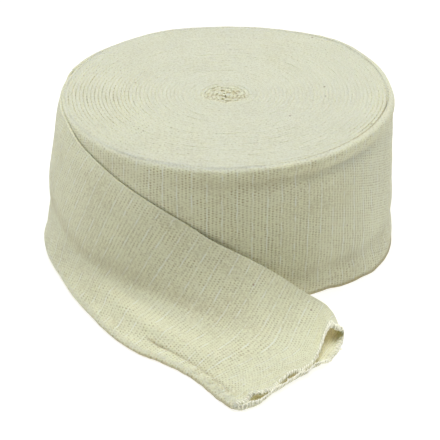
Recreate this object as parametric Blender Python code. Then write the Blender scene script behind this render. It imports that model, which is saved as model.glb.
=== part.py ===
"""Tubular bandage roll: a knitted tube, wound flat into a drum, its cut end lying out in front.

Metres, +Z up. The drum's axis is the Z axis and it lies on the plane Z = 0.
Angles are plan angles in degrees, counter-clockwise from +X seen from above.
"""
import math

import bmesh
import bpy
from mathutils import Vector

MM = 0.001

HEIGHT = 75.5 * MM          # flat width of the knitted tube, so the drum's height
LAP_START = 200.0           # angle where the last lap lifts off the drum as the loose end
GAP = 0.3 * MM              # between the drum and the cloth that lies against it
CLOTH = 2.4 * MM            # the flattened tube, two plies
PLY = 1.0 * MM              # one ply at the open end
RIM = 4.0 * MM              # rounding of the drum's top rim
FOOT = 3.0 * MM             # rounding of the drum's lower edge
CORE = 10.5 * MM            # radius of the uneven centre, where the winding began
CORE_DIP = 1.5 * MM
LIP_RISE = 0.8 * MM         # the rim's soft lip on one side
LIP_OUT = 0.8 * MM
TROUGH = 1.0 * MM           # the soft hollow under the lip
FOLD = 1.3 * MM             # the low soft fold on the same side
DRUM_STEPS = 76
BEND = 15 * MM              # rounding where the loose end turns from wall to floor
POCKET = 40 * MM            # how far in the open end's plies are modelled apart
PUFF = 1.8 * MM             # how far the loose end buckles up beside its floor edge
LENGTH = 246 * MM           # along the middle of the loose end
ALONG = 34                  # sections along the loose end
ACROSS = 24                 # steps across it
POCKET_STEPS = 8

# The drum's outline, from the lifting lap round to it again.
# angle, radius at the top, radius at the foot (mm), then how much lip and low fold there is
DRUM = [
    (200, 82.0, 81.6, 0.0, 0.0),
    (240, 82.2, 81.6, 0.0, 0.0),
    (277, 83.4, 81.6, 0.1, 0.0),
    (309, 83.7, 81.6, 0.5, 0.0),
    (334, 83.4, 81.2, 0.8, 0.4),
    (350, 83.0, 84.4, 1.0, 1.0),
    (366, 82.8, 88.8, 1.0, 1.0),
    (380, 83.1, 89.6, 1.0, 0.9),
    (394, 83.7, 88.0, 0.8, 0.5),
    (408, 83.8, 85.2, 0.6, 0.2),
    (428, 85.6, 84.6, 0.6, 0.0),
    (446, 87.2, 85.0, 0.4, 0.0),
    (465, 85.6, 84.0, 0.2, 0.0),
    (485, 84.4, 83.6, 0.0, 0.0),
    (515, 85.3, 84.0, 0.0, 0.0),
    (535, 84.8, 83.8, 0.0, 0.0),
    (560, 84.7, 84.4, 0.0, 0.0),
]

# The loose end, section by section, each from its top edge over the bend to its floor edge.
# share of the length, then angle, radius and height (mm) of the top edge, the bend and the floor edge
LOOSE = [
    (0.000, 200.3, 83.5, 74.4, 200.3, 83.5, 22.0, 200.3, 83.5, 1.4),
    (0.090, 214.0, 83.5, 74.8, 213.0, 84.6, 22.0, 212.0, 85.0, 1.4),
    (0.170, 229.0, 83.5, 75.0, 224.0, 88.6, 23.0, 221.0, 88.8, 1.4),
    (0.235, 241.0, 83.8, 74.6, 232.0, 91.4, 22.0, 230.0, 92.2, 1.4),
    (0.310, 254.0, 84.6, 70.5, 241.0, 91.8, 17.0, 242.0, 95.4, 1.4),
    (0.385, 265.5, 85.5, 65.5, 252.0, 91.0, 12.0, 254.5, 99.8, 1.4),
    (0.450, 275.0, 85.5, 60.5, 261.0, 90.0, 10.0, 264.0, 105.4, 1.4),
    (0.520, 286.0, 85.5, 54.5, 272.0, 90.0, 9.0, 274.5, 112.6, 1.4),
    (0.590, 297.0, 85.5, 47.0, 284.0, 93.0, 8.0, 283.0, 120.4, 1.4),
    (0.660, 307.0, 85.5, 38.5, 297.0, 103.0, 6.5, 291.0, 127.4, 1.4),
    (0.730, 317.0, 85.8, 30.0, 307.0, 112.0, 5.0, 297.5, 132.4, 1.4),
    (0.800, 326.5, 86.0, 19.5, 314.0, 118.5, 3.5, 303.0, 140.0, 1.4),
    (0.860, 334.5, 87.0, 8.5, 320.5, 124.0, 2.4, 306.3, 148.4, 1.4),
    (0.910, 338.5, 94.5, 2.4, 325.0, 128.5, 1.8, 308.2, 155.0, 1.4),
    (0.955, 338.6, 104.0, 1.6, 326.5, 134.0, 1.6, 309.8, 160.4, 1.4),
    (1.000, 336.8, 119.0, 1.6, 326.5, 140.5, 1.6, 311.2, 164.8, 1.4),
]

# The open end: share of the width from the far edge, how high the upper ply stands off
# the lower one, how far the lower ply reaches past the mean cut, and how far short of it
# the upper ply ends (mm)
MOUTH = [
    (0.00, 3.0, 1.0, 3.0),
    (0.05, 6.6, 2.6, 6.5),
    (0.14, 6.6, 2.8, 7.0),
    (0.22, 4.4, 2.4, 5.5),
    (0.30, 1.8, 1.6, 3.5),
    (0.42, 1.2, 0.2, 2.5),
    (0.50, 3.2, 0.0, 4.5),
    (0.58, 4.4, 0.4, 5.5),
    (0.66, 3.2, 1.2, 4.5),
    (0.73, 1.2, 2.0, 4.0),
    (0.80, 3.0, 2.8, 5.0),
    (0.87, 3.4, 3.0, 5.0),
    (0.94, 1.4, 2.4, 2.5),
    (1.00, 1.2, -0.5, 1.0),
]

POCKET_SHARE = POCKET / LENGTH
MOUTH_WAY = Vector((1.0, 0.0, 0.0))
CLOTH_COLOR = (0.80, 0.78, 0.62, 1.0)


def smooth_table(rows, x):
    """A row between the table's rows, on a smooth curve through all of them."""
    if x <= rows[0][0]:
        return list(rows[0][1:])
    if x >= rows[-1][0]:
        return list(rows[-1][1:])
    i = max(k for k in range(len(rows) - 1) if rows[k][0] <= x)
    a = rows[max(i - 1, 0)]
    b = rows[i]
    c = rows[i + 1]
    d = rows[min(i + 2, len(rows) - 1)]
    span = c[0] - b[0]
    t = (x - b[0]) / span
    out = []
    for k in range(1, len(b)):
        slope_b = (c[k] - a[k]) / (c[0] - a[0]) * span
        slope_c = (d[k] - b[k]) / (d[0] - b[0]) * span
        out.append(
            (2 * t**3 - 3 * t**2 + 1) * b[k]
            + (t**3 - 2 * t**2 + t) * slope_b
            + (3 * t**2 - 2 * t**3) * c[k]
            + (t**3 - t**2) * slope_c
        )
    return out


def ease(x):
    x = min(max(x, 0.0), 1.0)
    return x * x * (3 - 2 * x)


def polar(angle, radius, z):
    a = math.radians(angle)
    return Vector((radius * math.cos(a), radius * math.sin(a), z))


def drum_row(angle):
    top, foot, lip, fold = smooth_table(DRUM, (angle - LAP_START) % 360.0 + LAP_START)
    return top * MM, foot * MM, lip, fold


def drum_side(angle, z):
    """Radius of the drum's side at a height."""
    top, foot, lip, fold = drum_row(angle)
    t = min(z / HEIGHT, 1.0)
    radius = top + (foot - top) * (1 - t) ** 2
    radius += 0.4 * MM * math.sin(math.pi * t)
    radius += LIP_OUT * lip * math.exp(-(((z - 71.5 * MM) / (3.2 * MM)) ** 2))
    radius -= TROUGH * lip * math.exp(-(((z - 63.5 * MM) / (4.5 * MM)) ** 2))
    radius -= FOLD * fold * math.exp(-(((z - 15.0 * MM) / (4.0 * MM)) ** 2))
    return radius


def drum_profile(angle):
    """Radius and height from the foot, up the side and in over the top to the core."""
    lip = drum_row(angle)[2]
    out = [(30 * MM, 0.0), (60 * MM, 0.0)]
    low = drum_side(angle, FOOT)
    out.append((low - FOOT, 0.0))
    for k in (1, 2):
        a = math.radians(30 * k)
        out.append((low - FOOT * (1 - math.sin(a)), FOOT * (1 - math.cos(a))))
    for z in (3.5, 8.0, 11.5, 15.0, 19.0, 26.0, 36.0, 48.0, 56.0, 60.5, 64.0, 67.5):
        out.append((drum_side(angle, z * MM), z * MM))
    top = HEIGHT + LIP_RISE * lip
    start = 70.5 * MM + LIP_RISE * lip
    high = drum_side(angle, start)
    for k in range(4):
        a = math.radians(30 * k)
        out.append((high - RIM * (1 - math.cos(a)), start + (top - start) * math.sin(a)))
    out.append((high - 9 * MM, HEIGHT + 0.25 * LIP_RISE * lip))
    out.append((high - 16 * MM, HEIGHT - 0.2 * MM))
    wave = 0.3 * MM * math.cos(math.radians(angle - 60))
    out.append((46 * MM, HEIGHT - 0.1 * MM + wave))
    out.append((24 * MM, HEIGHT + 0.1 * MM + 0.4 * wave))
    out.append((CORE + 1.5 * MM, HEIGHT - 0.1 * MM))
    out.append((CORE - 2.5 * MM, HEIGHT - CORE_DIP))
    return out


def surface_object(name, points, faces, collection, material):
    """One closed body from rings of points, its faces turned outward."""
    mesh = bpy.data.meshes.new(name)
    bm = bmesh.new()
    verts = [bm.verts.new(p) for p in points]
    for face in faces:
        bm.faces.new([verts[i] for i in face])
    bmesh.ops.triangulate(bm, faces=bm.faces[:])
    bmesh.ops.recalc_face_normals(bm, faces=bm.faces[:])
    bm.to_mesh(mesh)
    bm.free()
    mesh.shade_smooth()
    mesh.set_sharp_from_angle(angle=math.radians(60))
    mesh.materials.append(material)
    obj = bpy.data.objects.new(name, mesh)
    collection.objects.link(obj)
    return obj


def bridge(ring, nxt):
    """Faces between two closed rings of equal count."""
    n = len(ring)
    return [(ring[j], ring[(j + 1) % n], nxt[(j + 1) % n], nxt[j]) for j in range(n)]


def build_drum(collection, material):
    angles = [LAP_START + 360.0 * k / DRUM_STEPS for k in range(DRUM_STEPS)]
    angles.append(LAP_START + 359.6)
    points = []
    columns = []
    for angle in angles:
        column = []
        for radius, z in drum_profile(angle):
            column.append(len(points))
            points.append(polar(angle, radius, z))
        columns.append(column)
    rows = list(zip(*columns))
    faces = []
    for low, high in zip(rows, rows[1:]):
        faces += bridge(list(low), list(high))
    for row, height in ((rows[0], 0.0), (rows[-1], HEIGHT - CORE_DIP - 0.2 * MM)):
        centre = len(points)
        points.append(Vector((0, 0, height)))
        n = len(row)
        faces += [(row[j], row[(j + 1) % n], centre) for j in range(n)]
    return surface_object("wound_roll", points, faces, collection, material)


def clear_of_drum(point, half):
    """Moves a point of the cloth out until it lies on the drum and not in it."""
    if point.z > HEIGHT + 4 * MM:
        return point
    angle = math.degrees(math.atan2(point.y, point.x))
    inside = (angle - LAP_START) % 360.0
    if inside > 340.0:
        angle = LAP_START
    need = drum_side(angle, min(max(point.z, 0.0), HEIGHT)) + GAP + half
    radius = math.hypot(point.x, point.y)
    if radius < need:
        point = Vector((point.x * need / radius, point.y * need / radius, point.z))
    return point


def mid_point(share, width):
    """The middle of the loose end's thickness: share runs along it, width across it."""
    row = smooth_table(LOOSE, share)
    top = polar(row[0], row[1] * MM, row[2] * MM)
    bend = polar(row[3], row[4] * MM, row[5] * MM)
    edge = polar(row[6], row[7] * MM, row[8] * MM)
    wall = (bend - top).length
    floor = (edge - bend).length
    fillet = min(BEND, 0.7 * wall, 0.7 * floor)
    travel = width * (wall + floor)
    if travel < wall - fillet:
        point = top.lerp(bend, travel / wall)
    elif travel > wall + fillet:
        point = bend.lerp(edge, (travel - wall) / floor)
    else:
        t = (travel - wall + fillet) / (2 * fillet)
        first = bend + (top - bend) * (fillet / wall)
        last = bend + (edge - bend) * (fillet / floor)
        point = first.lerp(bend, t).lerp(bend.lerp(last, t), t)
    buckle = math.exp(-(((width - 0.78) / 0.07) ** 2) - ((share - 0.62) / 0.13) ** 2)
    point.z += PUFF * buckle
    return clear_of_drum(point, cloth_half(width))


def frame_at(share, width):
    """The mid point and the direction out of the cloth's upper face."""
    d = 0.004
    here = mid_point(share, width)
    along = mid_point(min(share + d, 1.0), width) - mid_point(max(share - d, 0.0), width)
    across = mid_point(share, min(width + 0.01, 1.0)) - mid_point(share, max(width - 0.01, 0.0))
    return here, along.cross(across).normalized() * -1.0


def cloth_half(width):
    """Half the thickness across the width, with the tube's folded edges a little fuller."""
    half = CLOTH / 2
    half += 0.7 * MM * math.exp(-(((width - 0.965) / 0.025) ** 2))
    half -= 0.25 * MM * math.exp(-(((width - 0.90) / 0.025) ** 2))
    half += 0.3 * MM * math.exp(-(((width - 0.02) / 0.02) ** 2))
    return half


def widths():
    """Steps across the cloth, closer together at its folded edges."""
    steps = [k / ACROSS for k in range(ACROSS + 1)]
    return [0.6 * (0.5 - 0.5 * math.cos(math.pi * t)) + 0.4 * t for t in steps]


def loose_ring(share, inner):
    """One ring round the flattened tube: over its upper ply, back under its lower one."""
    open_now = ease((share - (1.0 - POCKET_SHARE)) / POCKET_SHARE)
    upper = []
    lower = []
    for width in widths():
        stand, reach, setback = smooth_table(MOUTH, width)
        lift = stand * MM * open_now
        drawn = open_now**2
        far = 1.0 + reach * MM * drawn / LENGTH
        short = 1.0 + (reach - setback) * MM * drawn / LENGTH
        half = cloth_half(width)
        low_share = min(share * far, 1.03)
        high_share = min(share * short, 1.03)
        if inner:
            width = 0.018 + 0.964 * width
        low, low_out = frame_at(min(low_share, 1.0), width)
        high, high_out = frame_at(min(high_share, 1.0), width)
        past = (low_share - 1.0) * LENGTH
        if past > 0:
            low = low + MOUTH_WAY * past
        past = (high_share - 1.0) * LENGTH
        if past > 0:
            high = high + MOUTH_WAY * past
        at_edge = width < 0.0001 or width > 0.9999
        wall = PLY if inner else 0.0
        if at_edge:
            upper.append((low + high) / 2 + low_out * (lift / 2))
            lower.append(None)
            continue
        up = high + high_out * (half + lift - wall)
        down = low - low_out * (half - wall)
        down.z = max(down.z, wall)
        upper.append(up)
        lower.append(down)
    return upper, lower


def build_loose_end(collection, material):
    points = []

    def add_ring(share, inner):
        upper, lower = loose_ring(share, inner)
        if inner:
            upper[0] = (upper[0] + lower[0]) / 2
            upper[-1] = (upper[-1] + lower[-1]) / 2
        ring = []
        for p in upper:
            ring.append(len(points))
            points.append(p)
        for p in reversed(lower[1:-1]):
            ring.append(len(points))
            points.append(p)
        return ring

    outside = [add_ring(k / ALONG, False) for k in range(ALONG + 1)]
    inside = []
    for k in range(POCKET_STEPS + 1):
        inside.append(add_ring(1.0 - 0.9 * POCKET_SHARE * k / POCKET_STEPS, True))
    faces = []
    for rings in (outside, [outside[-1]] + inside):
        for ring, nxt in zip(rings, rings[1:]):
            faces += bridge(ring, nxt)
    for ring in (outside[0], inside[-1]):
        n = len(ring)
        for j in range(ACROSS):
            corner = [ring[j], ring[j + 1], ring[(n - j - 1) % n], ring[(n - j) % n]]
            faces.append(tuple(dict.fromkeys(corner)))
    return surface_object("loose_end", points, faces, collection, material)


def cloth_material(name, color):
    material = bpy.data.materials.new(name)
    material.use_nodes = True
    shader = material.node_tree.nodes["Principled BSDF"]
    shader.inputs["Base Color"].default_value = color
    shader.inputs["Roughness"].default_value = 0.9
    shader.inputs["Metallic"].default_value = 0.0
    material.diffuse_color = color
    return material


def main():
    for obj in list(bpy.data.objects):
        bpy.data.objects.remove(obj, do_unlink=True)
    collection = bpy.data.collections.new("tubular_bandage_roll")
    bpy.context.scene.collection.children.link(collection)
    build_drum(collection, cloth_material("wound_cloth", CLOTH_COLOR))
    build_loose_end(collection, cloth_material("loose_cloth", CLOTH_COLOR))


main()
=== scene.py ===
"""Tubular bandage roll: the look of a knitted tube wound flat into a drum, its cut end lying out in front.

Metres, in the part's own frame. Angles are plan angles in degrees, counter-clockwise from +X. The wound
tube is followed by psi, the angle inward from the place where the loose end leaves the drum.
"""

import math

import bmesh
import bpy
import numpy as np
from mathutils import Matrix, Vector


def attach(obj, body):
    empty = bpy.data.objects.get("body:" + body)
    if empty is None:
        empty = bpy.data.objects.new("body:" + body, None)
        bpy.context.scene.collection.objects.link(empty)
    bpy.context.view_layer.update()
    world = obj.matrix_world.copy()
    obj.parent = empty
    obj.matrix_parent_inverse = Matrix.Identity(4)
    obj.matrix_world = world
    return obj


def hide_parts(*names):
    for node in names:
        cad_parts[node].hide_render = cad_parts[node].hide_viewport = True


MM = 0.001
TAU = 2 * math.pi

# Sizes that the solids have too.
HEIGHT = 75.5 * MM          # the drum's height
LAP_START = 200.0           # where the loose end leaves the drum
LIP_RISE = 0.8 * MM         # the rim's soft lip on one side
FOLD = 1.3 * MM             # the low soft fold on the same side
POCKET = 40 * MM            # how far in from the cut the loose end's plies lie apart
PUFF = 1.8 * MM             # how far the loose end buckles up beside its floor edge
LENGTH = 246 * MM           # along the middle of the loose end
POCKET_SHARE = POCKET / LENGTH

# The wound cloth.
START_RADIUS = 84.7 * MM    # of the round spiral, where the loose end leaves it
DRUM_RADIUS = 84 * MM
PITCH = 1.9 * MM            # one lap, which is the flattened tube's two plies
LAPS = 43.6
OUTER_LAP = 374.0           # how far round the outermost lap is modelled with its ribs
SIDE_TOP = 72 * MM          # where a lap's radius is taken for its top folds
SIDE_FOOT = 4 * MM          # and for its bottom folds
LEAST = 0.75 * MM           # no lap lies closer to the spiral's middle
TOP_ACROSS = 73.7 * MM      # way across the cloth at which its top fold starts
LIP_OUT = 0.9 * MM
TROUGH = 1.5 * MM           # the soft hollow under the lip
CORE = 12.5 * MM            # radius of the uneven centre
CORE_DIP = 0.6 * MM
CORE_OFF = 4.0 * MM         # how far the centre lies off the drum's middle
CORE_WAY = (0.64, -0.77)    # and which way

# The loose end's cloth.
CLOTH = 2.0 * MM            # its two plies
PLY = 0.85 * MM
BEND = 8 * MM               # rounding where it turns from wall to floor
CURL = 5 * MM               # how much of the lower ply's cut edge curls up
WIDTH = 79 * MM             # its mean width, for its folds' rounding
FLAT_WIDTH = 75 * MM        # the pressed tube's width, for the knit on it
ALONG = 562                 # rings along it, four to a rib
INSIDE = 62                 # rings inside the mouth
MOUTH_WAY = np.array([1.0, 0.0, 0.0])
YARN = 0.27 * MM            # radius of the yarns that fray from the cut

# The knit.
RIB = 1.75 * MM             # from one knitted rib to the next
THREADS = 4                 # every so many ribs a pale elastic thread lies in the knit
STITCH = 1.3 * MM
RELIEF = 0.02 * MM          # how far the ribs stand out
WOUND_HOLES = 1.2           # how strongly the gaps between stitches show
LOOSE_HOLES = 0.80
# Painted light: the mouth's inside and the frayed yarns glow, for light that comes through the cloth and to
# lift the yarns out of shade.
MOUTH_GLOW = 0.28           # light that comes through the cloth
YARN_GLOW = 0.16

# The photograph's view: a long lens, 28 degrees above the table. Then the light of its room.
EYE = Vector((0.4834, -0.5761, 0.4337))
AIM = Vector((-0.0021, -0.0018, 0.0017))
LENS = 136.0
ROOM_LIGHT = 0.105
FLOOR_LIGHT = 0.80

# Colours, linear.
ECRU = (0.77, 0.775, 0.56, 1)
# PALE and PALE_DEEP: the paler cloth on fold tops, partly its own colour and partly painted light.
PALE = (0.68, 0.682, 0.56, 1)
PALE_DEEP = (0.55, 0.535, 0.39, 1)
# Painted shade in the gaps between stitches, grooves, pits, creases and hollows.
OCHRE_SHADE = (0.38, 0.31, 0.15, 1)
GROOVE = (0.60, 0.58, 0.39, 1)
GLOW = (0.75, 0.64, 0.39, 1)
ELASTIC = (0.84, 0.88, 0.86, 1)
SEED = (0.22, 0.13, 0.06, 1)
FRAYED = (0.93, 0.94, 0.86, 1)
SHEEN = (0.95, 0.97, 0.90, 1)
FLOOR_DEEP = (0.30, 0.30, 0.285, 1)
FLOOR_PALE = (0.33, 0.33, 0.315, 1)
FLOOR_WHITE = (1.0, 0.99, 0.955, 1)

# The drum's outline: angle, radius at the top, radius at the foot (mm), share of lip and low fold.
DRUM = [
    (200, 82.0, 81.6, 0.0, 0.0),
    (240, 82.2, 81.6, 0.0, 0.0),
    (277, 83.4, 81.6, 0.1, 0.0),
    (309, 83.7, 81.6, 0.5, 0.0),
    (334, 83.4, 81.2, 0.8, 0.4),
    (350, 83.0, 84.4, 1.0, 1.0),
    (366, 82.8, 89.0, 1.0, 1.0),
    (380, 83.1, 88.8, 1.0, 0.9),
    (394, 83.9, 86.8, 0.6, 0.5),
    (408, 84.0, 84.6, 0.4, 0.2),
    (428, 85.6, 84.6, 0.4, 0.0),
    (446, 87.2, 85.0, 0.4, 0.0),
    (465, 85.6, 84.0, 0.2, 0.0),
    (485, 84.4, 83.6, 0.0, 0.0),
    (515, 85.3, 84.0, 0.0, 0.0),
    (535, 84.8, 83.8, 0.0, 0.0),
    (560, 84.7, 84.4, 0.0, 0.0),
]

# The section of a wound lap: share of the lap inward, whether on top, lift as a share of the fold,
# painted shading where laps blend and where they show: painted shade in the grooves between laps, and
# crowns painted paler, partly their own colour and partly painted light.
SECTION = [
    (0.50, False, 0.0, 0.0, 0.0),
    (0.13, False, 0.6, 0.0, 0.3),
    (0.0, False, 1.6, 0.0, 0.8),
    (0.0, True, -0.5, -0.5, 0.65),
    (0.03, True, -0.12, -0.5, 0.35),
    (0.20, True, -0.03, -0.8, -0.55),
    (0.50, True, 0.0, -0.9, -0.95),
    (0.80, True, -0.03, -0.8, -0.55),
    (0.97, True, -0.12, -0.5, 0.35),
    (1.0, True, -0.5, -0.5, 0.65),
    (1.0, False, 1.6, 0.0, 0.8),
    (0.87, False, 0.6, 0.0, 0.3),
]

# Heights of the rows on the outermost lap's side (mm), closest together at its foot and under its rim.
SIDE_ROWS = [
    0.9, 2.6, 5.5, 8.5, 11.5, 14.5, 17.5, 21, 26, 33, 41, 49,
    55, 59, 62, 64.5, 66.5, 68.5, 70.2, 71.6, 72.9,
]

# The loose end: share of the length, then angle, radius and height (mm) of its top edge,
# its bend and its floor edge.
LOOSE = [
    (0.000, 199.6, 83.6, 74.3, 199.6, 83.5, 22.0, 199.6, 83.5, 1.4),
    (0.090, 214.0, 83.2, 74.3, 213.0, 84.4, 20.0, 212.0, 85.6, 1.4),
    (0.170, 229.0, 83.3, 74.3, 224.0, 87.6, 23.0, 221.0, 90.0, 1.4),
    (0.235, 241.0, 83.8, 73.4, 232.0, 89.2, 24.0, 230.0, 93.0, 1.4),
    (0.310, 254.0, 84.6, 68.8, 241.0, 89.4, 22.0, 242.0, 95.4, 1.4),
    (0.385, 265.5, 85.5, 65.0, 252.0, 89.2, 16.0, 254.5, 98.2, 1.4),
    (0.450, 275.0, 85.5, 60.5, 261.5, 89.6, 12.5, 264.0, 103.3, 1.4),
    (0.520, 286.0, 85.5, 54.5, 272.5, 89.8, 11.0, 274.5, 110.6, 1.4),
    (0.590, 297.0, 85.5, 47.0, 284.5, 92.4, 9.8, 283.0, 119.2, 1.4),
    (0.660, 307.0, 85.5, 38.5, 297.0, 99.5, 9.0, 291.0, 127.4, 1.4),
    (0.730, 317.0, 85.8, 30.0, 307.0, 107.5, 7.5, 297.5, 132.4, 1.4),
    (0.800, 326.5, 86.0, 19.5, 314.0, 114.5, 5.5, 303.0, 140.0, 1.4),
    (0.860, 334.5, 87.0, 8.5, 320.5, 124.0, 2.4, 306.3, 148.4, 1.4),
    (0.910, 339.6, 94.5, 2.4, 325.0, 128.5, 1.8, 308.2, 155.0, 1.4),
    (0.955, 339.4, 104.0, 1.6, 326.5, 134.0, 1.6, 309.8, 160.4, 1.4),
    (1.000, 336.9, 119.0, 1.6, 326.5, 140.5, 1.6, 311.2, 164.8, 1.4),
]

# The open end: share of the width from the far edge, how high the upper ply stands off,
# how far the lower ply reaches past the mean cut, how far short of it the upper ply ends (mm).
MOUTH = [
    (0.00, 3.0, 2.4, 0.6),
    (0.04, 4.6, 3.0, 1.6),
    (0.07, 5.8, 3.4, 2.8),
    (0.12, 6.6, 4.2, 7.0),
    (0.17, 6.0, 4.4, 8.8),
    (0.23, 4.6, 4.4, 8.6),
    (0.30, 2.6, 4.2, 7.4),
    (0.40, 1.0, 3.2, 4.2),
    (0.50, 1.0, 3.6, 4.4),
    (0.57, 1.9, 4.2, 5.8),
    (0.64, 1.2, 4.8, 4.8),
    (0.72, 0.6, 5.4, 3.4),
    (0.80, 1.2, 6.6, 4.8),
    (0.86, 2.2, 8.0, 7.2),
    (0.92, 1.2, 7.8, 5.8),
    (0.97, 0.8, 5.6, 4.6),
    (1.00, 0.8, 1.2, 0.8),
]

# Soft dents and swells of the loose end: share of the length, share of the width,
# their half sizes as shares, and height (mm).
SWELLS = [
    (0.56, 0.80, 0.050, 0.035, 0.9),
    (0.66, 0.79, 0.050, 0.030, 0.8),
    (0.78, 0.80, 0.050, 0.060, 0.7),
    (0.86, 0.55, 0.060, 0.080, 0.9),
    (0.42, 0.45, 0.080, 0.100, -0.6),
    (0.33, 0.25, 0.050, 0.120, 0.5),
    (0.70, 0.35, 0.060, 0.120, -0.6),
]


def table(rows, x):
    """The rows' values between them, on a smooth curve through all rows, for an array of x."""
    rows = np.array(rows, float)
    at, values = rows[:, 0], rows[:, 1:]
    x = np.clip(np.asarray(x, float), at[0], at[-1])
    i = np.clip(np.searchsorted(at, x, side="right") - 1, 0, len(at) - 2)
    before = np.maximum(i - 1, 0)
    after = np.minimum(i + 2, len(at) - 1)
    span = (at[i + 1] - at[i])[..., None]
    t = ((x - at[i])[..., None]) / span
    m0 = (values[i + 1] - values[before]) / (at[i + 1] - at[before])[..., None] * span
    m1 = (values[after] - values[i]) / (at[after] - at[i])[..., None] * span
    return (
        (2 * t**3 - 3 * t**2 + 1) * values[i]
        + (t**3 - 2 * t**2 + t) * m0
        + (3 * t**2 - 2 * t**3) * values[i + 1]
        + (t**3 - t**2) * m1
    )


def ease(x):
    """0 below 0, 1 above 1, smooth between."""
    x = np.clip(x, 0.0, 1.0)
    return x * x * (3 - 2 * x)


def hump(x, middle, half):
    """1 at the middle, about a third at the half size away, and soon 0 beyond."""
    return np.exp(-(((x - middle) / half) ** 2))


def ripple(x, seed, length, octaves=3):
    """A smooth, repeatable wander of about -1 to 1 along x, its waves about this long."""
    rng = np.random.default_rng(seed)
    out = np.zeros_like(np.asarray(x, float))
    size = 1.0
    for _ in range(octaves):
        for _ in range(3):
            wave = length * rng.uniform(0.7, 1.5)
            out = out + size * np.sin(TAU * x / wave + rng.uniform(0, TAU)) / 3
        size *= 0.55
        length *= 0.47
    return out


def unit(vectors):
    return vectors / np.linalg.norm(vectors, axis=-1)[..., None]


def polar(angle, radius, z):
    a = np.radians(angle)
    return np.stack([radius * np.cos(a), radius * np.sin(a), z + 0 * a], axis=-1)


def turn_from(angle, middle):
    """Degrees from the middle, -180 to 180."""
    return (np.asarray(angle, float) - middle + 180.0) % 360.0 - 180.0


def plan_angle(psi):
    return LAP_START + 360.0 - psi


def drum_rows(angle):
    return table(DRUM, (np.asarray(angle, float) - LAP_START) % 360.0 + LAP_START)


def lip_share(angle):
    """0 to 1: how much of a lip the rim has there."""
    return drum_rows(angle)[..., 2]


def lip_notch(angle):
    """How deep a groove sets the lip off from the laps inside it: none at the back."""
    turn = np.mod(angle - LAP_START, 360.0)
    return lip_share(angle) * (1 - ease((turn - 195.0) / 40.0)) * ease((turn - 118.0) / 18.0)


def lip_front(angle):
    """1 where the lip faces the front right, where the laps inside it stand as high as it does."""
    return hump(turn_from(angle, 338.0), 0.0, 26.0)


def rim_ease(angle):
    """1 at the drum's front, where its top edge is softest, and less at its sides and back."""
    return 0.2 + 0.8 * hump(angle % 360.0, 296.0, 52.0)


def rim_lean(psi):
    """How far the folds at the top edge are drawn in from the side below them."""
    angle = plan_angle(psi)
    return (1.6 * rim_ease(angle) - 0.7 * lip_share(angle)) * MM * np.exp(-psi / 360.0 / 2.3)


def side_lean(psi, z):
    """What the side takes of that lean at a height: all of it at the rim, none below 61 mm."""
    return rim_lean(psi) * np.clip((z - 61 * MM) / (12 * MM), 0, 1) ** 2


def drum_side(angle, z):
    """Radius of the drum's side at a height."""
    row = drum_rows(angle)
    top, foot = row[..., 0] * MM, row[..., 1] * MM
    lip, fold = row[..., 2], row[..., 3]
    t = np.minimum(z / HEIGHT, 1.0)
    radius = top + (foot - top) * (1 - t) ** 2
    radius = radius + 0.4 * MM * np.sin(math.pi * t)
    radius = radius + LIP_OUT * lip * hump(z, 71.5 * MM, 3.2 * MM)
    hollow = hump(turn_from(angle, 334.0), 0.0, 32.0) * hump(z, 66.0 * MM, 4.0 * MM)
    radius = radius - TROUGH * lip * hollow
    radius = radius - 0.5 * MM * (1 - lip) * rim_ease(angle) * hump(z, 67.5 * MM, 3.2 * MM)
    return radius - FOLD * fold * hump(z, 14.0 * MM, 5.0 * MM)


def spiral_radius(psi):
    """Outer radius of the spiral as it would be in a round drum."""
    return START_RADIUS - PITCH * psi / 360.0


def wound_radius(psi, z):
    """Outer radius of the wound tube at a height. The drum's shape fades towards its middle."""
    angle = plan_angle(psi)
    steady = spiral_radius(psi)
    turn = np.mod(angle - LAP_START, 360.0)
    round_side = (82.75 + turn / 360.0 * 1.95) * MM
    beside_start = 0.72 * MM * hump(turn, 0.0, 46.0)
    shape = drum_side(angle, z) + beside_start - round_side
    fade = np.clip(steady / DRUM_RADIUS, 0, 1) ** 1.6
    pressed = 0.35 * MM * fade - 0.15 * MM * hump(psi, 0.0, 45.0)
    return np.maximum(steady, 0.9 * MM) + shape * fade - pressed


def arc_length(psi):
    """Length along the tube from its outer end inward."""
    fine = np.linspace(0, psi.max(), 20000)
    radius = np.maximum(spiral_radius(fine) - PITCH / 2, 0.6 * MM)
    steps = (radius[1:] + radius[:-1]) / 2 * np.radians(np.diff(fine))
    return np.interp(psi, fine, np.concatenate([[0], np.cumsum(steps)]))


def turn_steps(first, last, step):
    """Angles inward from first to last, about one step of length apart and closer in the uneven centre."""
    out = [first]
    while out[-1] < last:
        radius = max(spiral_radius(out[-1]), 2.0 * MM)
        fine = 0.45 if radius < CORE + 3 * MM else 1.0
        out.append(out[-1] + min(math.degrees(step * fine / radius), 13.0))
    out[-1] = last
    return np.array(out)


def core_share(angle, radius):
    """0 to 1: how far inside the uneven centre a place is."""
    uneven = 1.6 * MM * np.sin(np.radians(2 * angle + 35)) + 1.0 * MM * np.sin(np.radians(5 * angle))
    return ease((CORE + 1.0 * MM + uneven - radius) / (5.0 * MM))


def core_waves(length):
    """The ups and downs of the folds in the uneven centre."""
    return ripple(length, 13, 0.0046, 2)


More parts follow.
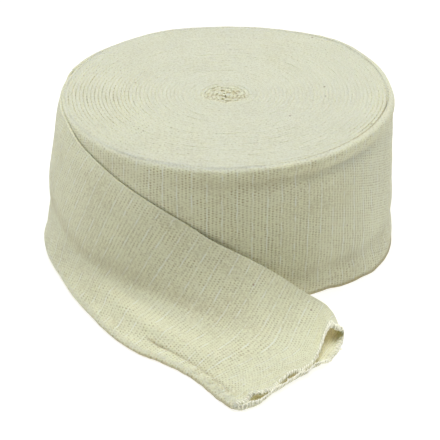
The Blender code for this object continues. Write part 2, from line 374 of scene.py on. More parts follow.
def top_height(psi, radius, across=0.0):
    """Height of the folds on top: a soft uneven plane, lower at the core and at the rim.

    The radius is the lap's own, and across is how far in from its middle, in laps.
    """
    angle, lap, length = plan_angle(psi), psi / 360.0, arc_length(psi)
    x, y = radius * np.cos(np.radians(angle)), radius * np.sin(np.radians(angle))
    z = HEIGHT + 0.15 * MM + 0.3 * MM * np.cos(np.radians(angle - 60)) * (radius / DRUM_RADIUS)
    z = z + 0.22 * MM * np.sin(TAU * x / (61 * MM) + 1.1) * np.sin(TAU * y / (73 * MM) + 0.4)
    z = z + 0.09 * MM * ripple(length, 11, 0.055) + 0.06 * MM * ripple(length, 12, 0.012)
    inward, soft = np.maximum(lap + across, 0.0), rim_ease(angle)
    drop = np.maximum(1.75 * soft - 1.3 * lip_share(angle), 0.2)
    z = z - drop * MM * hump(inward, 0.0, 1.2) - 0.5 * soft * MM * hump(inward, 0.0, 3.2)
    z = z - 1.1 * MM * lip_notch(angle) * (1 - 0.75 * lip_front(angle)) * hump(lap, 1.5, 0.8)
    return z - core_share(angle, radius) * (CORE_DIP + 0.40 * MM * core_waves(length))


def make_mesh(name, points, faces, uvs, shade):
    """An object from points, arrays of faces, and a UV pair and a shade value for each point."""
    mesh = bpy.data.meshes.new(name)
    blocks = [np.asarray(f, np.int32) for f in faces]
    loops = np.concatenate([b.ravel() for b in blocks])
    totals = np.concatenate([np.full(len(b), b.shape[1], np.int32) for b in blocks])
    starts = np.concatenate([[0], np.cumsum(totals)[:-1]]).astype(np.int32)
    mesh.vertices.add(len(points))
    mesh.vertices.foreach_set("co", np.asarray(points, np.float32).ravel())
    mesh.loops.add(len(loops))
    mesh.polygons.add(len(totals))
    mesh.polygons.foreach_set("loop_start", starts)
    mesh.polygons.foreach_set("loop_total", totals)
    mesh.loops.foreach_set("vertex_index", loops)
    layer = mesh.uv_layers.new(name="knit")
    layer.data.foreach_set("uv", np.asarray(uvs, np.float32)[loops].ravel())
    mesh.update(calc_edges=True)
    attribute = mesh.attributes.new("shade", "FLOAT", "POINT")
    attribute.data.foreach_set("value", np.asarray(shade, np.float32))
    obj = bpy.data.objects.new(name, mesh)
    bpy.context.scene.collection.objects.link(obj)
    bm = bmesh.new()
    bm.from_mesh(mesh)
    bmesh.ops.recalc_face_normals(bm, faces=bm.faces[:])
    bm.to_mesh(mesh)
    bm.free()
    mesh.shade_smooth()
    return obj


def wrap_faces(rings, count, start):
    """Quads between each ring of points and the next."""
    i = np.arange(rings - 1)[:, None] * count + start
    j = np.arange(count)[None, :]
    k = (j + 1) % count
    return np.stack([i + j, i + k, i + count + k, i + count + j], axis=-1).reshape(-1, 4)


def zip_faces(first, count):
    """Faces that close a ring whose first and middle points are its two folds."""
    half = count // 2
    ring = [first + j for j in range(count)]
    quads = [(ring[j], ring[j + 1], ring[count - j - 1], ring[count - j]) for j in range(1, half - 1)]
    ends = [(ring[0], ring[1], ring[-1]), (ring[half - 1], ring[half], ring[half + 1])]
    return quads, ends


def rib_wave(u):
    """The ribs' height at a place along the tube, -1 to 1, a little fuller on top."""
    wave = np.cos(TAU * u / RIB)
    return wave * (1 + 0.15 * wave) - 0.075


def inner_laps():
    """The wound tube inside its outermost lap: psi, and the rows round its section."""
    psi = turn_steps(OUTER_LAP, LAPS * 360.0, 2.7 * MM)
    angle, lap, length = plan_angle(psi), psi / 360.0, arc_length(psi)
    side = wound_radius(psi, SIDE_TOP)
    core = core_share(angle, side)
    wander = 0.08 * MM * ripple(length, 21, 0.02) * ease((psi - OUTER_LAP) / 90.0)
    wander = wander + core * 0.28 * MM * ripple(length, 22, 0.006)
    outer = np.maximum(side + wander, LEAST)
    # The lines between laps show most at the photograph's left and along the right rim.
    drawn = hump(angle % 360.0, 232.0, 44.0) * ease((spiral_radius(psi) / START_RADIUS - 0.3) / 0.4)
    drawn = drawn + 0.65 * hump(angle % 360.0, 25.0, 40.0) * hump(lap, 3.0, 3.0)
    drawn = np.clip(drawn, 0, 1)
    # Where lines show, and in the uneven centre, painted shade darkens the grooves between laps.
    shown = np.clip(drawn + 0.5 * core, 0, 1)
    width = np.minimum(PITCH * (1.045 - 0.015 * core - 0.075 * drawn), outer * 0.9)
    low = 0.22 * MM + 0.1 * MM * ripple(length, 23, 0.03)
    fold = (0.55 + 0.12 * ripple(length, 24, 0.02)) * MM * (1 + 0.2 * core) * (1 + 0.3 * drawn)
    # Painted shade in the pits of the uneven centre, painted light on the knobs between them.
    pit_shade = core * (0.90 + 1.1 * core_waves(length) + 0.5 * ripple(length, 14, 0.0017, 2))
    # Painted shade in the groove that sets the lip off from the laps inside it.
    groove = np.where(np.floor(lap) == 2, 1.5 * lip_notch(angle), 0.0)
    above, below = outer - rim_lean(psi), wound_radius(psi, SIDE_FOOT) + outer - side
    rows = []
    for share, on_top, lift, blended_shading, shown_shading in SECTION:
        radius = np.maximum(above if on_top else below, LEAST) - width * share
        height = (top_height(psi, outer, share - 0.5) if on_top else low) + lift * fold
        past_edge = (0.5 - abs(share - 0.5)) * PITCH
        across = TOP_ACROSS + past_edge if on_top else -past_edge
        painted_shading = blended_shading * (1 - shown) + shown_shading * shown + pit_shade
        painted_shading = painted_shading + (groove if on_top and share < 0.3 else 0.0)
        rows.append((radius, height, across, np.clip(painted_shading, -1, 0.9)))
    return psi, rows


def outer_lap():
    """The outermost lap, down to its knitted ribs: psi, and the rows round its section."""
    psi = turn_steps(0.0, OUTER_LAP + 3.0, RIB / 4)
    angle, length = plan_angle(psi), arc_length(psi)
    fold, lip, notch, front = drum_rows(angle)[:, 3], lip_share(angle), lip_notch(angle), lip_front(angle)
    foot_shadow = hump(angle % 360.0, 328.0, 20.0)
    side = wound_radius(psi, SIDE_TOP)
    rise = LIP_RISE * lip * (1 - 0.65 * front)
    tops = [top_height(psi, side, across) + rise for across in (-0.5, -0.25, 0.2, 0.55, 0.9)]
    relief = RELIEF * rib_wave(-length)
    sway = 0.20 * MM * ripple(length, 31, 0.05)
    thick = PITCH * 0.97
    lowest = 0.08 * MM + 0.5 * MM * np.clip(0.6 + ripple(length, 32, 0.024), 0, 2) * lip
    base = wound_radius(psi, SIDE_ROWS[0] * MM)
    # The foot's rows, with painted shadow where the foot lifts off the floor under the lip.
    rows = [
        (base - thick * 0.5, lowest, -1.2 * MM, 0.2),
        (base - 0.35 * MM, lowest + 0.22 * MM, -0.4 * MM, 0.1 + 0.9 * lip),
    ]
    for up in SIDE_ROWS:
        z = up * MM
        crease = 0.16 * MM * ripple(length + 3 * z, 33, 0.045) * math.sin(math.pi * up / 75)
        tuck = 1.3 * math.exp(-up / 2.6) * MM * (0.4 + 0.6 * lip)
        radius = wound_radius(psi, z) + relief + sway * 0.5 + crease - side_lean(psi, z) - tuck
        height = z + (tops[0] - (HEIGHT - 1.3 * MM)) * ease(up / 75.0) + lowest * ease(1 - up / 12.0)
        # Painted shade: darker in the low fold, under the rim, in the lip's hollow, at the foot and on the
        # floor.
        painted_shading = 0.34 * fold * hump(up, 14.5, 2.8) * np.clip(0.8 + 0.6 * ripple(length, 34, 0.012), 0, 2)
        painted_shading = painted_shading + 0.14 * hump(up, 67.0, 3.2)
        painted_shading = painted_shading + 0.30 * lip * lip_front(angle + 8) * hump(up, 66.5, 2.2)
        painted_shading = painted_shading + 0.22 * foot_shadow * hump(up, 8.0, 13.0)
        painted_shading = painted_shading + lip * hump(up, 0.0, 1.6)
        rows.append((radius, height, z, painted_shading))
    # Over the rim and down the inside: the rim's folds painted paler, partly their own colour and partly
    # painted light, and painted shade in the groove behind the lip and down the inside.
    head = wound_radius(psi, SIDE_ROWS[-1] * MM) - rim_lean(psi)
    inner = wound_radius(psi, 60 * MM) - thick
    puff = 1.7 * MM * lip
    groove = (1 - 0.9 * front) * notch * MM
    rows += [
        (head - 0.40 * MM + relief * 0.7, tops[1] - 0.28 * MM + relief * 0.5, 74.5 * MM, -0.3),
        (head - 1.00 * MM - puff * 0.4, tops[2] + relief * 0.6, 75.2 * MM, -0.6),
        (head - 1.65 * MM - puff * 0.8, tops[3] - 0.10 * MM * lip + relief * 0.4, 75.9 * MM, -0.5),
        (head - 2.25 * MM - puff, tops[4] - groove, 76.8 * MM, 0.9 * notch - 0.4 * (1 - notch)),
        (
            np.minimum(head - 1.9 * MM - puff * 0.4, inner + 0.6 * MM),
            top_height(psi, side) + rise - 2.4 * MM,
            78 * MM,
            0.9,
        ),
        (inner, 55 * MM, 98 * MM, 0.9),
        (wound_radius(psi, 12 * MM) - thick, 12 * MM, 140 * MM, 0.9),
        (base - thick, 1.2 * MM, 150 * MM, 0.8),
    ]
    return psi, rows


def build_wound():
    """The drum: one long flattened tube in a spiral, its outermost lap with its own ribs and folds."""
    points, uvs, shades, quads, caps = [], [], [], [], []
    for psi, rows in (inner_laps(), outer_lap()):
        # Each row holds radius, height, way across the cloth and painted shading.
        radius, height, across, painted_shading = (
            np.stack([np.broadcast_to(row[i], psi.shape) for row in rows], axis=1) for i in range(4)
        )
        rings, count = radius.shape
        start = sum(len(p) for p in points)
        a = np.radians(plan_angle(psi))[:, None]
        off = CORE_OFF * np.clip(1 - radius / DRUM_RADIUS, 0, 1) ** 2
        x, y = radius * np.cos(a) + CORE_WAY[0] * off, radius * np.sin(a) + CORE_WAY[1] * off
        points.append(np.stack([x, y, height], axis=-1).reshape(-1, 3))
        along = np.broadcast_to(-arc_length(psi)[:, None], across.shape)
        uvs.append(np.stack([along, across], axis=-1).reshape(-1, 2))
        shades.append(painted_shading.reshape(-1))
        quads.append(wrap_faces(rings, count, start))
        for first in (start, start + (rings - 1) * count):
            caps.append(np.arange(first, first + count)[None, :])
    faces = [np.concatenate(quads)] + caps
    points, uvs, shades = np.concatenate(points), np.concatenate(uvs), np.concatenate(shades)
    return make_mesh("wound_turns", points, faces, uvs, shades)


def cloth_half(width):
    """Half the loose end's thickness: thinner at the top edge, fuller in the bead along the floor edge."""
    half = CLOTH / 2 - 0.35 * MM * hump(width, 0.0, 0.06)
    half = half + 0.6 * MM * hump(width, 0.965, 0.025)
    return half - 0.2 * MM * hump(width, 0.90, 0.025)


def crease_depth(share, width):
    """0 to 1: the crease inside the near edge's bead, deepest where it starts."""
    line = np.interp(share, [0.62, 0.70, 0.80, 0.95], [0.858, 0.884, 0.912, 0.935])
    depth = ease((share - 0.65) / 0.03) * (0.5 + 0.5 * hump(share, 0.68, 0.03))
    return depth * ease((0.97 - share) / 0.05) * hump(width, line, 0.013)


def fold_lines(share):
    """The loose end's top edge, bend and floor edge, and how long its wall and its floor are between them."""
    row = table(LOOSE, share)
    top, bend, edge = (polar(row[..., i], row[..., i + 1] * MM, row[..., i + 2] * MM) for i in (0, 3, 6))
    return top, bend, edge, np.linalg.norm(bend - top, axis=-1), np.linalg.norm(edge - bend, axis=-1)


def bend_share(share):
    """The share of the loose end's width at which its wall turns out along the floor."""
    _, _, _, wall, floor = fold_lines(share)
    return wall / (wall + floor)


def smooth_point(share, width):
    """A place on the loose end's wall, rounded bend or floor, without its dents."""
    top, bend, edge, wall, floor = fold_lines(share)
    fillet = np.minimum(BEND, 0.7 * np.minimum(wall, floor))
    travel = width * (wall + floor)
    on_wall = top + (bend - top) * (travel / wall)[..., None]
    on_floor = bend + (edge - bend) * ((travel - wall) / floor)[..., None]
    t = ((travel - wall + fillet) / (2 * fillet))[..., None]
    first = bend + (top - bend) * (fillet / wall)[..., None]
    last = bend + (edge - bend) * (fillet / floor)[..., None]
    curve = (1 - t) ** 2 * first + 2 * t * (1 - t) * bend + t**2 * last
    point = np.where((travel < wall - fillet)[..., None], on_wall, curve)
    point = np.where((travel > wall + fillet)[..., None], on_floor, point)
    # The wall bulges where it hangs slack, near its start.
    down = np.clip(travel / wall, 0, 1)
    bulge = 1.9 * MM * np.sin(math.pi * down**1.9) * ease((0.55 - share) / 0.2) * ease((share - 0.1) / 0.1)
    point[..., :2] *= (1 + bulge / np.linalg.norm(point[..., :2], axis=-1))[..., None]
    return point


def dents(share, width, z):
    """How far the loose end lifts off that smooth shape: its buckle, dents, crease and waves."""
    lift = PUFF * hump(width, 0.78, 0.07) * hump(share, 0.62, 0.13)
    for at_s, at_w, size_s, size_w, height in SWELLS:
        lift = lift + height * MM * hump(share, at_s, size_s) * hump(width, at_w, size_w)
    lift = lift - 0.9 * MM * crease_depth(share, width)
    u, v = share * LENGTH, width * WIDTH
    lift = lift + 0.7 * MM * ripple(u, 53, 0.016) * hump(width, 0.955, 0.03) * ease((share - 0.3) / 0.2)
    waves = ripple(u + 0.6 * v, 51, 0.022) * ripple(v - 0.3 * u, 52, 0.024)
    lift = lift + 0.35 * MM * waves * ease((width - 0.5) / 0.2)
    return lift - 0.35 * MM * ease((4 * MM - z) / (3 * MM))


def mid_point(share, width):
    """The middle of the loose end's thickness: share runs along it, width across it."""
    point = smooth_point(share, width)
    z = point[..., 2] + dents(share, width, point[..., 2])
    # The cloth never cuts into the drum's side, and its top edge lies close against it.
    angle = np.degrees(np.arctan2(point[..., 1], point[..., 0]))
    angle = np.where(np.mod(angle - LAP_START, 360.0) > 340.0, LAP_START, angle)
    start = ease((0.25 - share) / 0.13)
    free = (0.05 - 0.25 * start) * MM - side_lean(360.0 - (angle - LAP_START), z)
    need = drum_side(angle, np.clip(z, 0.0, HEIGHT)) + free + cloth_half(width)
    radius = np.linalg.norm(point[..., :2], axis=-1)
    close = hump(width, 0.0, 0.08) * ease((0.66 - share) / 0.08) * ease((share - 0.01) / 0.06)
    push = np.maximum(need / radius, 1.0) * (1 - close) + (need - 0.25 * MM) / radius * close
    return np.concatenate([point[..., :2] * push[..., None], z[..., None]], axis=-1)


def frame_at(share, width):
    """The mid point, the way out of the cloth's upper face and the way along the cloth."""
    before, after = np.maximum(share - 0.003, 0.0), np.minimum(share + 0.003, 1.0)
    higher, lower = np.maximum(width - 0.01, 0.0), np.minimum(width + 0.01, 1.0)
    along = mid_point(after, width) - mid_point(before, width)
    across = mid_point(share, lower) - mid_point(share, higher)
    return mid_point(share, width), unit(-np.cross(along, across)), unit(along)


def cut_curl(upper, inside, width, left, blend):
    """How a cut edge curls: the upper ply rolls back on itself, the lower one lifts off the floor.

    Left is the way still to go to the cut. Returned are the upper ply's roll outward, and how far
    the lower ply goes forward, up and over.
    """
    still = 0 * left
    if upper:
        corner = ease((0.26 - width) / 0.12)
        roll = hump(left, 1.9 * MM, (1.7 + 1.2 * corner) * MM)
        return ((0.15 if inside else 0.85) + 0.8 * corner) * MM * roll * blend, still, still, still
    scallop = 0.5 + 0.5 * ripple(width * WIDTH, 43, 0.019)
    near = ease((width - 0.24) / 0.2)
    turned = np.radians(16 + near * (95 + 50 * scallop)) * (0.25 + 0.75 * blend)
    bent = np.clip(1 - left / CURL, 0, 1)
    over = bent * turned
    return still, CURL * (np.sin(over) / turned - bent), CURL * (1 - np.cos(over)) / turned, over


def ply_grid(share, width, side, inside):
    """Points of one ply of the loose end, the way out there and the share of the length they reach.

    Side is 1 for the upper ply and -1 for the lower.
    """
    upper = side > 0
    stand, reach, setback = np.moveaxis(table(MOUTH, width), -1, 0) * MM
    open_now = ease((share - (1.0 - POCKET_SHARE)) / POCKET_SHARE)
    drawn = open_now**2
    fray = 0.35 * MM * ripple(width * WIDTH, 41 if upper else 42, 0.006) * ease((share - 0.97) / 0.03)
    own_at = share * (1.0 + ((reach - (setback if upper else 0.0)) * drawn + fray) / LENGTH)
    mean_at = share * (1.0 + (reach - 0.5 * setback) * drawn / LENGTH)
    edge = np.minimum(width, 1.0 - width) * WIDTH
    blend = ease(edge / (2.5 * MM))
    at = mean_at + (own_at - mean_at) * blend
    wall = PLY if inside else 0.0
    across = PLY / WIDTH + (1 - 2 * PLY / WIDTH) * width if inside else width
    here, out, along = frame_at(np.minimum(at, 1.0), across)
    here = here + MOUTH_WAY * (np.maximum(at - 1.0, 0.0) * LENGTH)[..., None]
    lift = stand * open_now
    size = np.maximum(cloth_half(width) + lift / 2 - wall, 0.04 * MM)
    from_edge = np.clip(edge / np.maximum(size, 0.3 * MM), 0, 1)
    round_over = np.sqrt(np.clip(1 - (1 - from_edge) ** 2, 0, 1))
    roll, forward, height, over = cut_curl(upper, inside, width, (1.0 - share) * LENGTH, blend)
    point = here + out * (lift / 2 + side * (size * round_over + roll) + height)[..., None]
    point = point + along * forward[..., None]
    point = point + wall * (out * (np.cos(over) - 1)[..., None] - along * np.sin(over)[..., None])
    point[..., 2] = np.maximum(point[..., 2], wall + 0.05 * MM)
    return point, out, at


def loose_painted_shading(share, width, upper, inside):
    """The loose end's painted shading, paler below 0 and deeper above: upper is true for points of the upper
    ply.
    """
    left = (1 - share) * LENGTH
    # Paler along the cut: partly the bare loops' own colour, partly painted light.
    cut = -0.9 * hump(left, 0.0, 3.2 * MM)
    # Inside the mouth, painted shade, deeper in from the cut and more on the upper ply.
    if inside:
        return cut * 0.6 + np.where(upper, 0.35, 0.1) * ease(left / (9 * MM))
    # Painted light on the fold along the top edge and on the bead along the floor edge.
    painted_shading = cut - 0.35 * hump(width, 0.0, 0.02) - 0.5 * hump(width, 0.975, 0.015)
    # Painted shade where the lower ply lies against the drum, and painted shadow under the bead along the
    # floor edge.
    painted_shading = painted_shading + np.where(upper, 0.0, 1.1 * hump(width, 0.012, 0.012))
    painted_shading = painted_shading + np.where(upper, 0.8 * hump(width, 1.0, 0.006), 1.6 * hump(width, 1.0, 0.014))
    # The cloth is painted darkest just above the bend where the wall turns out along the floor, where shade
    # falls in the corner, mottled, with a painted highlight on the ridge below it.
    bend = bend_share(share)
    above = ease((share - 0.2) / 0.08) * (1 - ease((share - 0.64) / 0.2))
    u, v = share * LENGTH, width * WIDTH
    mottle = 1.6 * ripple(u + 0.3 * v, 61, 0.004) * ripple(v - 0.2 * u, 62, 0.003)
    mottle = 1 + mottle + 0.5 * ripple(u, 63, 0.002)
    painted_shading = painted_shading + 0.34 * above * mottle * hump(width, bend - 0.07, 0.075)
    painted_shading = painted_shading - 0.25 * above * hump(width, bend + 0.04, 0.05)
    # Painted shade in the crease inside the near edge's bead.
    return painted_shading + 1.1 * crease_depth(share, width)


def build_loose():
    """The loose end: a flattened two-ply tube with an open mouth and its ribs across it."""
    points, uvs, shades, glows, quads, tris = [], [], [], [], [], []
    edge_steps = np.array([0.0, 0.12, 0.4, 0.8, 1.4, 2.2]) * MM / WIDTH
    wide = np.linspace(edge_steps[-1], 0.82, 38)[1:]
    close = np.linspace(0.82, 1 - edge_steps[-1], 19)[1:-1]
    upper_w = np.concatenate([edge_steps, wide, close, 1 - edge_steps[::-1]])
    # A ring runs over the upper ply and back under the lower one.
    split = len(upper_w)
    ring_w = np.concatenate([upper_w, upper_w[::-1][1:-1]])
    count = len(ring_w)
    plies = ((1, slice(0, split)), (-1, slice(split, count)))

    def add(along, inside):
        """Rings at these shares of the length, outside or inside the mouth. Returns their first point."""
        start = sum(len(p) for p in points)
        share, width = np.meshgrid(along, ring_w, indexing="ij")
        ring, uv = [], []
        for side, part in plies:
            point, out, at = ply_grid(share[:, part], width[:, part], side, inside)
            relief = side * (-0.6 if inside else 1.0) * RELIEF * rib_wave(at * LENGTH)
            point = point + out * relief[..., None]
            point[..., 2] = np.maximum(point[..., 2], 0.02 * MM)
            ring.append(point)
            uv.append(np.stack([at * LENGTH, side * FLAT_WIDTH * (1 - width[:, part])], axis=-1))
        points.append(np.concatenate(ring, axis=1).reshape(-1, 3))
        uvs.append(np.concatenate(uv, axis=1).reshape(-1, 2))
        shades.append(loose_painted_shading(share, width, np.arange(count) < split, inside).reshape(-1))
        # Painted light: the cloth inside the mouth glows a little way in from the cut, as if lit through the
        # plies.
        left = (1 - share) * LENGTH
        painted_glow = ease(1 - left / (26 * MM)) * ease((left - 2 * MM) / (7 * MM))
        glows.append((painted_glow if inside else 0 * painted_glow).reshape(-1))
        quads.append(wrap_faces(len(along), count, start))
        return start

    outside = add(np.linspace(0, 1, ALONG), False)
    inside = add(np.linspace(1.0, 1.0 - 0.88 * POCKET_SHARE, INSIDE), True)
    last = outside + (ALONG - 1) * count
    j = np.arange(count)
    k = (j + 1) % count
    quads.append(np.stack([last + j, last + k, inside + k, inside + j], -1))
    for first in (outside, inside + (INSIDE - 1) * count):
        closing, ends = zip_faces(first, count)
        quads.append(np.array(closing, np.int32))
        tris += ends
    faces = [np.concatenate(quads), np.array(tris, np.int32)]
    points, uvs, shades = np.concatenate(points), np.concatenate(uvs), np.concatenate(shades)
    cloth = make_mesh("loose_cloth", points, faces, uvs, shades)
    glow = cloth.data.attributes.new("glow", "FLOAT", "POINT")
    glow.data.foreach_set("value", np.concatenate(glows).astype(np.float32))
    return cloth


def tube_points(path, radius, sides):
    """Rings of points round a path, for one yarn."""
    way = unit(np.gradient(path, axis=0))
    side = unit(np.cross(way, np.array([0.31, 0.52, 0.80])))
    other = np.cross(way, side)
    turn = np.arange(sides) * TAU / sides
    ring = side[:, None] * np.cos(turn)[None, :, None] + other[:, None] * np.sin(turn)[None, :, None]
    taper = np.ones(len(path))
    taper[[0, -1]] = 0.45
    return path[:, None] + ring * (radius * taper)[:, None, None]


def smooth_path(points, steps):
    """A rounded path through a few points."""
    rows = [(at, *point) for at, point in zip(np.linspace(0, 1, len(points)), points)]
    return table(rows, np.linspace(0, 1, steps))


def build_yarns():
    """The knit's own loops, laid bare along the two plies' cut edges, and a few loose ends."""
    rng = np.random.default_rng(71)
    paths, places = [], []
    for side in (1, -1):
        count = int(WIDTH / (0.95 * STITCH))
        width = (np.arange(count) + 0.5 + rng.uniform(-0.25, 0.25, count)) / count
        for w in width[1:-1]:
            # A loop starts on one face of the ply, goes round the cut and ends on the other face.
            share = 1 - np.array([rng.uniform(1.6, 2.9), 0.9, 0.25, 0.05]) * MM / LENGTH
            across = np.clip(w + rng.uniform(-0.35, 0.35, 4) * MM / WIDTH, 0.004, 0.996)
            beside = across + rng.uniform(0.2, 0.6) * MM / WIDTH
            over, _, _ = ply_grid(share, across, side, side < 0)
            under, _, _ = ply_grid(share, beside, side, side > 0)
            through = unit(over - under)
            ahead = over[2] - over[1]
            ahead = ahead / max(np.linalg.norm(ahead), 1e-6)
            stand = through * np.array([-0.05, 0.16, 0.14, 0.0])[:, None] * MM * rng.uniform(0.8, 1.6)
            tip = (over[3] + under[3]) / 2 + ahead * rng.uniform(0.1, 0.45) * MM
            wrap = [*(over + stand)[:3], tip, *(under - stand)[2:0:-1], under[0] + through[0] * 0.1 * MM]
            paths.append(smooth_path(wrap, 15))
            places.append(w)
            if rng.random() < 0.12:
                way = ahead + through[3] * rng.uniform(-0.6, 0.9)
                way = way + (over[1] - over[0]) / MM * rng.uniform(-0.4, 0.4)
                bend = rng.standard_normal(3) * 0.4 * MM
                end = tip + way * rng.uniform(0.6, 1.5) * MM
                paths.append(smooth_path([over[2], tip, (tip + end) / 2 + bend, end], 9))
                places.append(w)
    points, uvs, quads, caps, total, sides = [], [], [], [], 0, 6
    for path, w in zip(paths, places):
        path[:, 2] = np.maximum(path[:, 2], YARN * 1.3)
        steps = len(path)
        points.append(tube_points(path, YARN * rng.uniform(0.85, 1.2), sides).reshape(-1, 3))
        t = np.linspace(0, 1, steps)[:, None]
        uv = np.concatenate([0.4 * MM + 0 * t, w * FLAT_WIDTH + t * 4 * MM], axis=1)
        uvs.append(np.repeat(uv, sides, axis=0))
        quads.append(wrap_faces(steps, sides, total))
        caps += [range(total, total + sides), range(total + (steps - 1) * sides, total + steps * sides)]
        total += steps * sides
    points = np.concatenate(points)
    faces = [np.concatenate(quads), np.array([list(c) for c in caps], np.int32)]
    return make_mesh("cut_edge_yarns", points, faces, np.concatenate(uvs), np.zeros(len(points)))


class Graph:
    """Short calls for the nodes of one material."""

    def __init__(self, name):
        self.material = bpy.data.materials.new(name)
        self.material.use_nodes = True
        self.tree = self.material.node_tree
        self.shader = self.tree.nodes["Principled BSDF"]

    def node(self, kind):
        return self.tree.nodes.new("ShaderNode" + kind)

    def put(self, socket, value):
        if isinstance(value, bpy.types.NodeSocket):
            self.tree.links.new(value, socket)
        else:
            socket.default_value = value

    def set_shader(self, **values):
        """Sets inputs of the shader, a space in their names written as an underscore."""
        for name, value in values.items():
            self.put(self.shader.inputs[name.replace("_", " ")], value)

    def math(self, operation, first, second=0.0, clamp=False):
        node = self.node("Math")
        node.operation = operation
        node.use_clamp = clamp
        self.put(node.inputs[0], first)
        self.put(node.inputs[1], second)
        return node.outputs[0]

    def plus(self, first, second, clamp=False):
        return self.math("ADD", first, second, clamp)

    def minus(self, first, second):
        return self.math("SUBTRACT", first, second)

    def times(self, first, second, clamp=False):
        return self.math("MULTIPLY", first, second, clamp)

    def band(self, value, low, high):
        """0 below low, 1 above high, smooth between."""
        node = self.node("MapRange")
        node.interpolation_type = "SMOOTHSTEP"
        self.put(node.inputs["Value"], value)
        node.inputs["From Min"].default_value = low
        node.inputs["From Max"].default_value = high
        return node.outputs["Result"]

    def noise(self, vector, size, detail=2.0, rough=0.5):
        """Noise of 0 to 1 with grains of about this size in metres."""
        node = self.node("TexNoise")
        self.put(node.inputs["Vector"], vector)
        node.inputs["Scale"].default_value = 1 / size
        node.inputs["Detail"].default_value = detail
        node.inputs["Roughness"].default_value = rough
        return node.outputs["Fac"]

    def wander(self, vector, size, reach):
        """Noise that drifts about 0, in metres."""
        return self.times(self.minus(self.noise(vector, size), 0.5), reach)

    def mix(self, share, first, second):
        node = self.node("Mix")
        node.data_type = "RGBA"
        self.put(node.inputs["Factor"], share)
        self.put(node.inputs[6], first)
        self.put(node.inputs[7], second)
        return node.outputs[2]

    def ridge(self, phase):
        """1 where the phase is a whole number, 0 halfway between."""
        return self.times(self.math("ABSOLUTE", self.minus(self.math("FRACT", phase), 0.5)), 2.0)

    def place(self):
        return self.node("TexCoord").outputs["Object"]

    def attribute(self, name):
        node = self.node("Attribute")
        node.attribute_name = name
        return node.outputs["Fac"]

    def parts(self, vector):
        node = self.node("SeparateXYZ")
        self.put(node.inputs[0], vector)
        return node.outputs

    def bump(self, height, strength, distance):
        node = self.node("Bump")
        node.inputs["Strength"].default_value = strength
        node.inputs["Distance"].default_value = distance
        self.put(node.inputs["Height"], height)
        self.put(self.shader.inputs["Normal"], node.outputs[0])


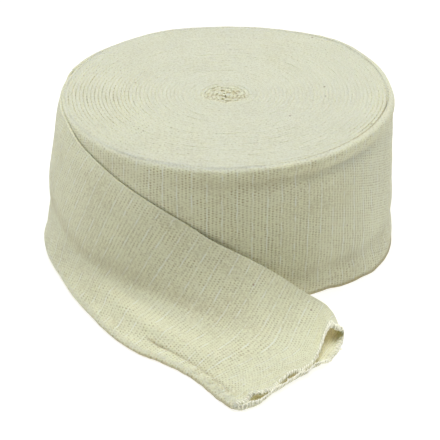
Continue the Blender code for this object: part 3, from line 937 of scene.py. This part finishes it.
def knit_material(name, holes):
    """Unbleached cotton knit: ribs across the tube, small hooked stitches, pale elastic threads."""
    g = Graph(name)
    uv = g.node("UVMap")
    uv.uv_map = "knit"
    uv = uv.outputs[0]
    u, v, _ = g.parts(uv)
    place = g.place()
    dark = g.attribute("shade")

    # The ribs wander a little, as the knit is drawn unevenly.
    along = g.plus(g.plus(u, g.wander(uv, 14 * MM, 0.9 * MM)), g.wander(uv, 3.5 * MM, 0.9 * MM))
    rib = g.times(along, 1 / RIB)
    crest = g.ridge(rib)
    hook = g.times(g.minus(1.0, crest), 0.35)
    stagger = g.times(g.math("FLOOR", rib), 0.5)
    across = g.plus(v, g.wander(place, 4.5 * MM, 1.1 * MM))
    stitch = g.ridge(g.plus(g.plus(g.times(across, 1 / STITCH), stagger), hook))

    # An elastic thread lies on one rib in four. It fades in patches and where the cloth is painted paler.
    every = g.math("FRACT", g.times(g.plus(g.math("FLOOR", g.plus(rib, 0.5)), 0.1), 1 / THREADS))
    elastic = g.times(g.math("LESS_THAN", every, 0.2), g.band(crest, 0.62, 0.82))
    elastic = g.times(elastic, g.band(g.noise(place, 5 * MM, 2.0, 0.6), 0.36, 0.62))
    elastic = g.times(elastic, g.plus(g.times(dark, 1.8), 1.0, clamp=True))

    # Small gaps between ribs and stitches, of uneven depth.
    patchy = g.band(g.noise(place, 9 * MM, 2.0, 0.6), 0.25, 0.65)
    speckled = g.band(g.noise(place, 1.9 * MM, 1.0), 0.35, 0.6)
    hole = g.times(g.band(crest, 0.72, 0.2), g.band(stitch, 0.62, 0.22))
    hole = g.times(hole, g.plus(g.times(patchy, 0.6), 0.4))
    hole = g.times(hole, g.plus(g.times(speckled, 0.7), 0.3))
    hole = g.times(hole, g.plus(g.times(dark, 0.9), 1.0, clamp=True))

    # Colour: ecru yarn, with painted shade in the gaps between stitches, uneven from yarn to yarn.
    cloudy = g.noise(place, 18 * MM, 3.0, 0.6)
    grain = g.noise(place, 1.1 * MM, 2.0, 0.7)
    uneven = g.plus(g.times(cloudy, 0.35), g.times(grain, 0.65))
    colour = g.mix(g.band(uneven, 0.30, 0.56), GROOVE, ECRU)
    colour = g.mix(g.times(hole, holes, clamp=True), colour, OCHRE_SHADE)
    colour = g.mix(g.times(elastic, 0.55), colour, ELASTIC)
    # Painted shade where the shade attribute is above 0, painted light where it is below: paler, as on the
    # fold tops.
    colour = g.mix(g.times(dark, 0.62, clamp=True), colour, OCHRE_SHADE)
    pale = g.mix(g.band(g.noise(place, 0.8 * MM, 2.0, 0.6), 0.36, 0.56), PALE_DEEP, PALE)
    colour = g.mix(g.times(dark, -0.75, clamp=True), colour, pale)

    # Sparse flecks of cotton seed.
    cells = g.node("TexVoronoi")
    g.put(cells.inputs["Vector"], place)
    cells.inputs["Scale"].default_value = 1 / (7 * MM)
    chosen = g.math("GREATER_THAN", g.parts(cells.outputs["Color"])[0], 0.88)
    fleck = g.times(g.band(cells.outputs["Distance"], 0.11, 0.05), chosen)
    colour = g.mix(g.times(fleck, 0.7), colour, SEED)

    # Relief: rib crests, the stitches on them and loose fibres.
    height = g.times(g.minus(1.0, g.math("POWER", g.minus(1.0, crest), 2.0)), 0.04)
    height = g.minus(g.plus(height, g.times(stitch, 0.2)), g.times(hole, 0.8))
    height = g.plus(height, g.times(g.noise(place, 0.5 * MM, 3.0, 0.7), 0.55))
    g.bump(height, 0.7, 0.35 * MM)
    # Painted light: the cloth inside the mouth glows where the glow attribute is set.
    g.set_shader(
        Base_Color=colour,
        Emission_Color=GLOW,
        Emission_Strength=g.times(g.attribute("glow"), MOUTH_GLOW),
        Subsurface_Weight=0.3,
        Subsurface_Radius=(1.0, 0.85, 0.45),
        Subsurface_Scale=2.0 * MM,
        Roughness=0.92,
        Specular_IOR_Level=0.15,
        Sheen_Weight=0.25,
        Sheen_Roughness=0.6,
        Sheen_Tint=SHEEN,
    )
    return g.material


def yarn_material():
    """The frayed yarns: the same cotton, paler where its fibres stand loose, and a painted glow that lifts
    them out of shade.
    """
    g = Graph("frayed_cotton")
    fibre = g.noise(g.place(), 0.4 * MM, 3.0, 0.7)
    g.bump(fibre, 0.6, 0.08 * MM)
    g.set_shader(
        Base_Color=g.mix(g.band(fibre, 0.3, 0.6), ECRU, FRAYED),
        Emission_Color=GLOW,
        Emission_Strength=YARN_GLOW,
        Roughness=0.95,
        Sheen_Weight=0.2,
    )
    return g.material


def floor_material():
    """A floor that shines a little of its own, as white as the photograph's."""
    g = Graph("pale_table")
    g.set_shader(
        Base_Color=g.mix(g.noise(g.place(), 0.4), FLOOR_DEEP, FLOOR_PALE),
        Roughness=0.7,
        Emission_Color=FLOOR_WHITE,
        Emission_Strength=FLOOR_LIGHT,
    )
    return g.material


def add_floor():
    bpy.ops.mesh.primitive_plane_add(size=12)
    floor = bpy.context.object
    floor.name = "table"
    floor.data.materials.append(floor_material())
    return floor


def add_softbox(name, place, size, energy, colour):
    """A rectangular lamp that faces the roll."""
    data = bpy.data.lights.new(name, "AREA")
    data.shape = "RECTANGLE"
    data.size, data.size_y = size
    data.energy = energy
    data.color = colour
    light = bpy.data.objects.new(name, data)
    light.location = place
    light.rotation_euler = (Vector((0, 0, 0.03)) - light.location).to_track_quat("-Z", "Y").to_euler()
    bpy.context.scene.collection.objects.link(light)


def add_lights():
    """One big softbox overhead, two at the sides, and a weak white room."""
    front = (EYE - AIM).normalized()
    right = front.cross(Vector((0, 0, 1))).normalized() * -1
    add_softbox("overhead", Vector((0, 0, 1.3)), (1.1, 1.1), 18.8, (0.975, 0.985, 1.0))
    for name, way in (("left", -right), ("right", right)):
        place = way * 1.2 + Vector((0, 0, 0.40)) - front * 0.25
        add_softbox(name, place, (0.5, 0.7), 2.2, (0.95, 0.98, 1.0))
    world = bpy.data.worlds.new("room")
    world.use_nodes = True
    world.node_tree.nodes["Background"].inputs["Color"].default_value = (1, 1, 1, 1)
    world.node_tree.nodes["Background"].inputs["Strength"].default_value = ROOM_LIGHT
    bpy.context.scene.world = world


def add_camera():
    data = bpy.data.cameras.new("photo_view")
    data.lens = LENS
    data.sensor_width = 36.0
    camera = bpy.data.objects.new("photo_view", data)
    camera.location = EYE
    camera.rotation_euler = (AIM - EYE).to_track_quat("-Z", "Y").to_euler()
    bpy.context.scene.collection.objects.link(camera)
    bpy.context.scene.camera = camera


def main():
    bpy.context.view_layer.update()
    wound = build_wound()
    wound.data.materials.append(knit_material("wound_knit", WOUND_HOLES))
    loose = build_loose()
    loose.data.materials.append(knit_material("loose_knit", LOOSE_HOLES))
    yarns = build_yarns()
    yarns.data.materials.append(yarn_material())

    for piece, node, slot in ((wound, "wound_roll", "wound_cloth"), (loose, "loose_end", "loose_cloth")):
        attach(piece, "root")
        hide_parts(node)
    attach(yarns, "root")

    add_floor()
    add_lights()
    add_camera()
    bpy.context.scene.view_settings.view_transform = "Standard"


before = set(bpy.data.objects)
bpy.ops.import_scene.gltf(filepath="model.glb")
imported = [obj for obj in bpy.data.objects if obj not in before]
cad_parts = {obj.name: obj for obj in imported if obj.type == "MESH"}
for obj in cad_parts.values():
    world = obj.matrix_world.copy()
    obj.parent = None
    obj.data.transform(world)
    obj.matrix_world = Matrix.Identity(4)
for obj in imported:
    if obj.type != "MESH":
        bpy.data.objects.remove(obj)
main()
